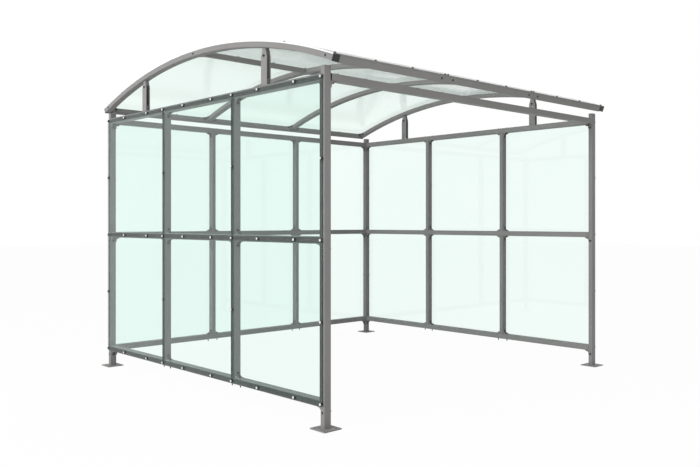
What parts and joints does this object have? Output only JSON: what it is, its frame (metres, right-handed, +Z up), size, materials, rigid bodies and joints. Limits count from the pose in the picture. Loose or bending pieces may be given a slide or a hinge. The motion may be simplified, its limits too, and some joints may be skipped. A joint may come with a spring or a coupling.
{
  "type": "bicycle shelter",
  "caption": "Open-fronted bicycle shelter: steel tube frame, glazed on three sides, with an arched roof of clear sheets.",
  "frame": {"origin": "middle of the plan, on the ground", "axes": "+X along the open front to the right as seen from outside it, +Y from the front to the back, +Z up"},
  "size_m": [3.51, 3.3242, 2.7592],
  "materials": {
    "frame_paint": "satin grey coating",
    "bracket_paint": "satin grey coating on cast brackets",
    "safety_glass": "clear, slightly green",
    "glazing_rubber": "matt black",
    "roof_sheet": "clear multiwall sheet, slightly milky",
    "cap_plastic": "dark moulded plastic"
  },
  "bodies": {
    "root": {"front_left_post": "frame_paint", "front_right_post": "frame_paint", "back_left_post": "frame_paint", "back_right_post": "frame_paint", "base_plates": "frame_paint", "front_beam": "frame_paint", "left_low_rail": "frame_paint", "left_middle_rail": "frame_paint", "left_high_rail": "frame_paint", "right_low_rail": "frame_paint", "right_middle_rail": "frame_paint", "right_high_rail": "frame_paint", "back_low_rail": "frame_paint", "back_middle_rail": "frame_paint", "back_high_rail": "frame_paint", "left_front_mullion": "frame_paint", "left_rear_mullion": "frame_paint", "right_front_mullion": "frame_paint", "right_rear_mullion": "frame_paint", "back_left_mullion": "frame_paint", "back_right_mullion": "frame_paint", "left_lower_glass": "safety_glass", "left_upper_glass": "safety_glass", "right_lower_glass": "safety_glass", "right_upper_glass": "safety_glass", "back_lower_glass": "safety_glass", "back_upper_glass": "safety_glass", "glazing_strips": "glazing_rubber", "left_gable_arch": "frame_paint", "left_inner_arch": "frame_paint", "right_inner_arch": "frame_paint", "right_gable_arch": "frame_paint", "front_eave": "frame_paint", "back_eave": "frame_paint", "middle_purlin": "frame_paint", "left_struts": "frame_paint", "right_struts": "frame_paint", "left_roof_sheet": "roof_sheet", "middle_roof_sheet": "roof_sheet", "right_roof_sheet": "roof_sheet", "arch_end_caps": "cap_plastic", "wall_brackets": "bracket_paint", "roof_brackets": "bracket_paint"}
  },
  "joints": []
}
